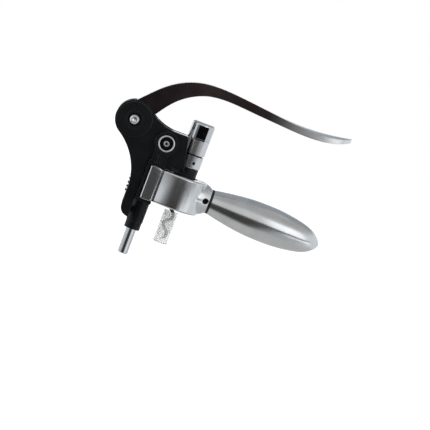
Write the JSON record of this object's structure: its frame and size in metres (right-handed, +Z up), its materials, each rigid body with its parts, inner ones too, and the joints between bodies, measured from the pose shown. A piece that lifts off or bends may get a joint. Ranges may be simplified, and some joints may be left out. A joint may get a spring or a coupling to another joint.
{
  "type": "lever corkscrew",
  "caption": "Hand-held lever corkscrew: a pair of grips closes two jaws on a bottle's neck, and a geared lever lifts the worm and cork through a rack.",
  "frame": {"origin": "on the worm's axis, level with the top face of the two clamp jaws; a bottle's lip stops 3 mm below it, under the jaws' top flange", "axes": "+Z up along the worm's axis, +X from the worm towards the grips' ends, near side of the picture at -Y"},
  "size_m": [0.1886, 0.0396, 0.1503],
  "materials": {
    "black_casting": "satin black powder coat over zinc casting",
    "lever_metal": "satin plating that mirrors the dark room along its side",
    "steel": "machined",
    "polished_steel": "polished",
    "chrome": "mirror",
    "black_screws": "black oxide",
    "bronze": "machined",
    "coated_worm": "non-stick black coating on spring steel",
    "black_plastic": "matte",
    "satin_grips": "satin, softly reflecting along the grip",
    "satin_casting": "satin nickel over zinc casting",
    "rubber": "soft dark brown",
    "clear_plastic": "frosted clear plastic"
  },
  "bodies": {
    "frame": {"side_plate_near": "black_casting", "side_plate_far": "black_casting", "foot_spacer": "steel", "foot_screw": "polished_steel", "axle_pin": "steel", "axle_bush_near": "black_screws", "axle_bush_far": "black_screws", "axle_screw_near": "polished_steel", "axle_screw_far": "polished_steel", "clamp_bracket": "black_casting", "guide_bush_upper": "bronze", "guide_bush_lower": "bronze", "jaw_pin_near": "steel", "jaw_pin_far": "steel", "boss_rings": "chrome", "boss_screws": "black_screws", "boss_eyelets": "polished_steel", "worm_nut": "black_plastic"},
    "lever": {"lever_arm": "lever_metal", "drive_gear": "steel", "gear_dowels": "steel"},
    "carriage": {"carriage": "satin_casting", "rack": "steel", "rack_pins": "steel", "guide_rod": "polished_steel", "rod_screw": "black_screws", "lower_collar": "satin_casting", "collar_grub_screw": "black_screws", "head_bush": "bronze", "thrust_ball": "steel", "chrome_cap": "chrome"},
    "worm": {"worm": "coated_worm", "worm_head": "steel"},
    "sleeve": {"worm_sleeve": "clear_plastic"},
    "jaw_near": {"jaw_near": "satin_casting", "jaw_pad_near": "rubber", "neck_washer_near": "black_plastic", "grip_near": "satin_grips", "grip_screw_near": "black_screws"},
    "jaw_far": {"jaw_far": "satin_casting", "jaw_pad_far": "rubber", "neck_washer_far": "black_plastic", "grip_far": "satin_grips", "grip_screw_far": "black_screws"}
  },
  "joints": [
    {"name": "lever_swing", "type": "hinge", "parent": "frame", "child": "lever", "pos_m": [-0.0529, 0, 0.0286], "axis": [0, -1, 0], "range_deg": [0, 200]},
    {"name": "carriage_slide", "type": "slide", "parent": "frame", "child": "carriage", "axis": [0, 0, 1], "range_m": [0, 0.0455]},
    {"name": "worm_spin", "type": "hinge", "parent": "carriage", "child": "worm", "pos_m": [0, 0, 0], "axis": [0, 0, 1], "range_deg": [0, 1048]},
    {"name": "sleeve_pull", "type": "slide", "parent": "frame", "child": "sleeve", "axis": [0, 0, -1], "range_m": [0, 0.03]},
    {"name": "jaw_near_swing", "type": "hinge", "parent": "frame", "child": "jaw_near", "pos_m": [-0.0246, -0.0134, 0], "axis": [0, 0, -1], "range_deg": [0, 22]},
    {"name": "jaw_far_swing", "type": "hinge", "parent": "frame", "child": "jaw_far", "pos_m": [-0.0246, 0.0134, 0], "axis": [0, 0, 1], "range_deg": [0, 22]}
  ],
  "couplings": [
    {"joint": "carriage_slide", "follows": "lever_swing", "m_per_rad": 0.013},
    {"joint": "worm_spin", "follows": "lever_swing", "ratio": 5.236}
  ]
}
